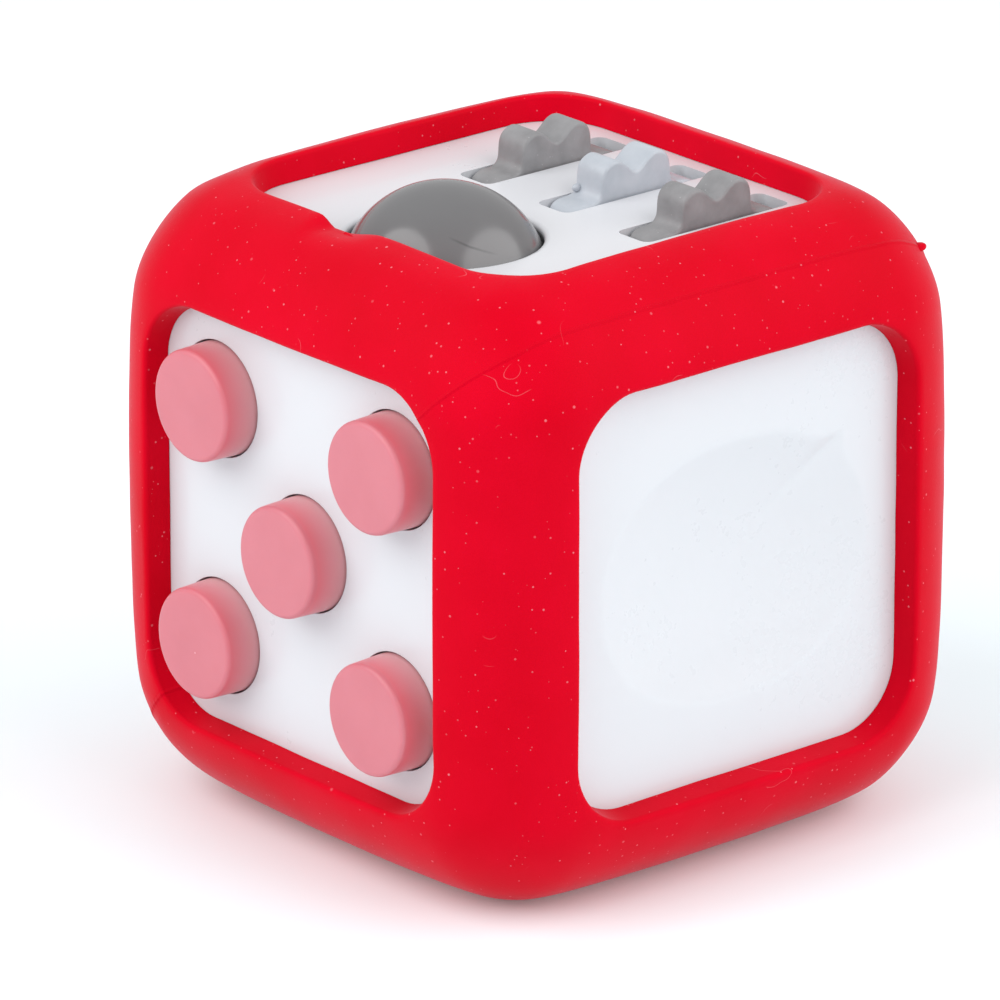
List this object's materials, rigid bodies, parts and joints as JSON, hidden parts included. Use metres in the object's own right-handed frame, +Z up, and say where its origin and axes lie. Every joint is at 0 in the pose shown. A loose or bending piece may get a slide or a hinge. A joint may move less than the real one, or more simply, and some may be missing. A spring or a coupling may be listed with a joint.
{
  "type": "fidget cube",
  "caption": "Palm-sized desk toy: a rounded cube in a silicone sleeve with a push-button, worry-dish, ball-and-gear, joystick, rocker and dial face.",
  "frame": {"origin": "middle of the plane the sleeve stands on", "axes": "+Z up out of the face with the ball and gears, -Y out of the push-button face, +X out of the worry-dish face, +Y out of the joystick face, -X out of the rocker face, -Z out of the dial face"},
  "size_m": [0.033, 0.0344, 0.0343],
  "materials": {
    "sleeve": "matte",
    "panel": "satin",
    "button": "satin",
    "dark_plastic": "gloss",
    "light_plastic": "satin",
    "dark_gear": "satin",
    "inner_plastic": "matte",
    "silicone_pad": "matte",
    "steel": "bright"
  },
  "bodies": {
    "cube": {"rubber_frame": "sleeve", "click_panel": "panel", "worry_panel": "panel", "roll_panel": "panel", "glide_panel": "panel", "switch_panel": "panel", "spin_panel": "panel", "dome_pad": "silicone_pad", "snap_discs": "steel", "click_back_plate": "inner_plastic", "ball_spring": "steel", "gear_axle": "steel", "gear_spacers": "inner_plastic", "gear_click_spring": "steel", "roll_back_plate": "inner_plastic", "joystick_spring": "steel", "glide_back_plate": "inner_plastic", "switch_pin": "steel", "switch_leaf_spring": "steel", "switch_back_plate": "inner_plastic", "dial_detent_ball": "steel", "dial_detent_spring": "steel", "module_screws": "steel"},
    "button_upper_left": {"button_upper_left": "button"},
    "button_upper_right": {"button_upper_right": "button"},
    "button_centre": {"button_centre": "button"},
    "button_lower_left": {"button_lower_left": "button"},
    "button_lower_right": {"button_lower_right": "button"},
    "ball_carrier": {"ball_cup": "inner_plastic"},
    "ball": {"roll_ball": "dark_plastic"},
    "gear_left": {"gear_left": "dark_gear"},
    "gear_middle": {"gear_middle": "light_plastic"},
    "gear_right": {"gear_right": "dark_gear"},
    "gimbal": {"gimbal_ring": "steel"},
    "joystick": {"joystick_cap": "dark_plastic", "joystick_stem": "inner_plastic", "gimbal_pin": "steel", "joystick_foot": "inner_plastic"},
    "rocker": {"switch_rocker": "button"},
    "dial": {"spin_dial": "light_plastic", "dial_washer": "steel", "dial_screw": "steel"}
  },
  "joints": [
    {"name": "button_upper_left_press", "type": "slide", "parent": "cube", "child": "button_upper_left", "axis": [0, 1, 0], "range_m": [0, 0.0008], "stiffness_N_per_m": 600, "springref_m": -0.0004, "deforming": ["dome_pad"]},
    {"name": "button_upper_right_press", "type": "slide", "parent": "cube", "child": "button_upper_right", "axis": [0, 1, 0], "range_m": [0, 0.0008], "stiffness_N_per_m": 600, "springref_m": -0.0004, "deforming": ["dome_pad"]},
    {"name": "button_centre_press", "type": "slide", "parent": "cube", "child": "button_centre", "axis": [0, 1, 0], "range_m": [0, 0.0008], "stiffness_N_per_m": 600, "springref_m": -0.0004, "deforming": ["dome_pad"]},
    {"name": "button_lower_left_press", "type": "slide", "parent": "cube", "child": "button_lower_left", "axis": [0, 1, 0], "range_m": [0, 0.0008], "stiffness_N_per_m": 600, "springref_m": -0.0004, "deforming": ["dome_pad"]},
    {"name": "button_lower_right_press", "type": "slide", "parent": "cube", "child": "button_lower_right", "axis": [0, 1, 0], "range_m": [0, 0.0008], "stiffness_N_per_m": 600, "springref_m": -0.0004, "deforming": ["dome_pad"]},
    {"name": "ball_press", "type": "slide", "parent": "cube", "child": "ball_carrier", "axis": [0, 0, -1], "range_m": [0, 0.0008], "stiffness_N_per_m": 700, "springref_m": -0.0004, "deforming": ["ball_spring"]},
    {"name": "ball_roll", "type": "hinge", "parent": "ball_carrier", "child": "ball", "pos_m": [0.00065, -0.0066, 0.0289], "axis": [1, 0, 0], "continuous": true},
    {"name": "gear_left_turn", "type": "hinge", "parent": "cube", "child": "gear_left", "pos_m": [-0.0054, 0.0052, 0.02925], "axis": [1, 0, 0], "continuous": true, "deforming": ["gear_click_spring"]},
    {"name": "gear_middle_turn", "type": "hinge", "parent": "cube", "child": "gear_middle", "pos_m": [0.0007, 0.0052, 0.02925], "axis": [1, 0, 0], "continuous": true, "deforming": ["gear_click_spring"]},
    {"name": "gear_right_turn", "type": "hinge", "parent": "cube", "child": "gear_right", "pos_m": [0.0068, 0.0052, 0.02925], "axis": [1, 0, 0], "continuous": true, "deforming": ["gear_click_spring"]},
    {"name": "joystick_tilt_up_down", "type": "hinge", "parent": "cube", "child": "gimbal", "pos_m": [0, 0.012, 0.0165], "axis": [1, 0, 0], "range_deg": [-10, 10], "stiffness_Nm_per_rad": 0.03, "deforming": ["joystick_spring"]},
    {"name": "joystick_tilt_sideways", "type": "hinge", "parent": "gimbal", "child": "joystick", "pos_m": [0, 0.012, 0.0165], "axis": [0, 0, 1], "range_deg": [-10, 10], "stiffness_Nm_per_rad": 0.03, "deforming": ["joystick_spring"]},
    {"name": "rocker_flip", "type": "hinge", "parent": "cube", "child": "rocker", "pos_m": [-0.0126, 0, 0.0165], "axis": [0, -1, 0], "range_deg": [0, 14]},
    {"name": "dial_spin", "type": "hinge", "parent": "cube", "child": "dial", "pos_m": [0, 0, 0.0004], "axis": [0, 0, -1], "continuous": true}
  ]
}
